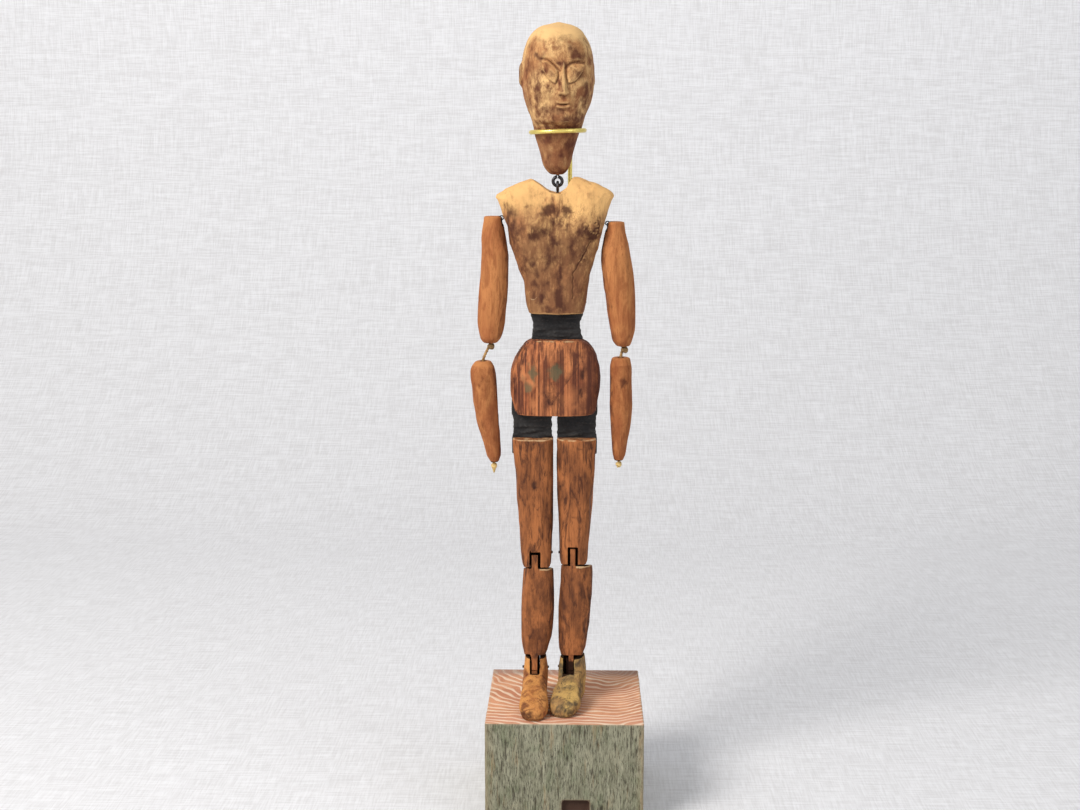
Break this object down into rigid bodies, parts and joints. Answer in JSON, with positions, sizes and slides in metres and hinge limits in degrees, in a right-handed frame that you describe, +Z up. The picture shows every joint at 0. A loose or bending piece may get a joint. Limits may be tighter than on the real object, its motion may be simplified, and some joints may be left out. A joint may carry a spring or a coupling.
{
  "type": "jointed wooden doll on a stand",
  "caption": "Carved wooden doll with pinned, strapped and corded joints, hung by the neck in a brass ring on a rod above a wooden block.",
  "frame": {"origin": "middle of the block's underside", "axes": "+Z up, the doll faces -Y, its right side is towards -X"},
  "size_m": [0.098, 0.089, 0.442],
  "materials": {
    "tan_wood": "old hand-rubbed, mottled",
    "pale_wood": "old hand-rubbed, stained",
    "red_wood": "old hand-rubbed, strong grain",
    "olive_wood": "worn, mottled",
    "post_wood": "weathered sides, sawn end grain",
    "leather": "black, worn",
    "twine": "twisted, dry",
    "dark_steel": "blackened",
    "brass": "lightly tarnished"
  },
  "bodies": {
    "stand": {"stand_block": "post_wood", "stand_rod": "brass", "neck_ring": "brass"},
    "head": {"head": "tan_wood", "neck_screw_eye": "dark_steel"},
    "torso": {"torso": "pale_wood", "torso_screw_eye": "dark_steel", "right_shoulder_eye": "dark_steel", "left_shoulder_eye": "dark_steel", "waist_strap": "leather"},
    "right_upper_arm": {"right_upper_arm": "tan_wood", "right_arm_eye": "dark_steel", "right_elbow_twine": "twine"},
    "right_forearm": {"right_forearm": "tan_wood"},
    "left_upper_arm": {"left_upper_arm": "tan_wood", "left_arm_eye": "dark_steel", "left_elbow_twine": "twine"},
    "left_forearm": {"left_forearm": "tan_wood"},
    "pelvis": {"pelvis": "red_wood", "right_hip_strap": "leather", "left_hip_strap": "leather"},
    "right_thigh": {"right_thigh": "red_wood", "right_knee_pin": "dark_steel"},
    "left_thigh": {"left_thigh": "red_wood", "left_knee_pin": "dark_steel"},
    "right_shin": {"right_shin": "red_wood"},
    "left_shin": {"left_shin": "red_wood"},
    "right_foot": {"right_foot": "tan_wood", "right_ankle_pin": "dark_steel"},
    "left_foot": {"left_foot": "olive_wood", "left_ankle_pin": "dark_steel"}
  },
  "joints": [
    {"name": "head_turn", "type": "hinge", "parent": "stand", "child": "head", "pos_m": [-0.0048, -0.0045, 0.3841], "axis": [0, 0, 1], "range_deg": [-30, 30]},
    {"name": "torso_swing", "type": "hinge", "parent": "stand", "child": "torso", "pos_m": [-0.0048, -0.0045, 0.3545], "axis": [-1, 0, 0], "range_deg": [0, 25]},
    {"name": "right_shoulder", "type": "hinge", "parent": "torso", "child": "right_upper_arm", "pos_m": [-0.0356, -0.0045, 0.3362], "axis": [-1, 0, 0], "range_deg": [-40, 90]},
    {"name": "left_shoulder", "type": "hinge", "parent": "torso", "child": "left_upper_arm", "pos_m": [0.0226, -0.0045, 0.3332], "axis": [-1, 0, 0], "range_deg": [-40, 90]},
    {"name": "right_elbow", "type": "hinge", "parent": "right_upper_arm", "child": "right_forearm", "pos_m": [-0.0442, -0.0045, 0.2669], "axis": [-1, 0, 0], "range_deg": [-45, 80], "deforming": ["right_elbow_twine"]},
    {"name": "left_elbow", "type": "hinge", "parent": "left_upper_arm", "child": "left_forearm", "pos_m": [0.0307, -0.0045, 0.2651], "axis": [-1, 0, 0], "range_deg": [-45, 70], "deforming": ["left_elbow_twine"]},
    {"name": "waist", "type": "hinge", "parent": "torso", "child": "pelvis", "pos_m": [-0.0056, -0.0045, 0.27745], "axis": [-1, 0, 0], "range_deg": [0, 50], "deforming": ["waist_strap"]},
    {"name": "right_hip", "type": "hinge", "parent": "pelvis", "child": "right_thigh", "pos_m": [-0.0187, -0.0045, 0.2214], "axis": [-1, 0, 0], "range_deg": [0, 55], "deforming": ["right_hip_strap"]},
    {"name": "left_hip", "type": "hinge", "parent": "pelvis", "child": "left_thigh", "pos_m": [0.0061, -0.0045, 0.2214], "axis": [-1, 0, 0], "range_deg": [0, 55], "deforming": ["left_hip_strap"]},
    {"name": "right_knee", "type": "hinge", "parent": "right_thigh", "child": "right_shin", "pos_m": [-0.0171, -0.0045, 0.1475], "axis": [-1, 0, 0], "range_deg": [-55, 0]},
    {"name": "left_knee", "type": "hinge", "parent": "left_thigh", "child": "left_shin", "pos_m": [0.0042, -0.0045, 0.1475], "axis": [-1, 0, 0], "range_deg": [-55, 0]},
    {"name": "right_ankle", "type": "hinge", "parent": "right_shin", "child": "right_foot", "pos_m": [-0.0174, -0.0045, 0.079], "axis": [-1, 0, 0], "range_deg": [0, 10]},
    {"name": "left_ankle", "type": "hinge", "parent": "left_shin", "child": "left_foot", "pos_m": [0.0038, -0.0045, 0.079], "axis": [-0.9816, 0.1908, 0], "range_deg": [0, 10]}
  ],
  "couplings": [
    {"joint": "right_knee", "follows": "right_hip", "ratio": -1},
    {"joint": "left_knee", "follows": "left_hip", "ratio": -1}
  ]
}
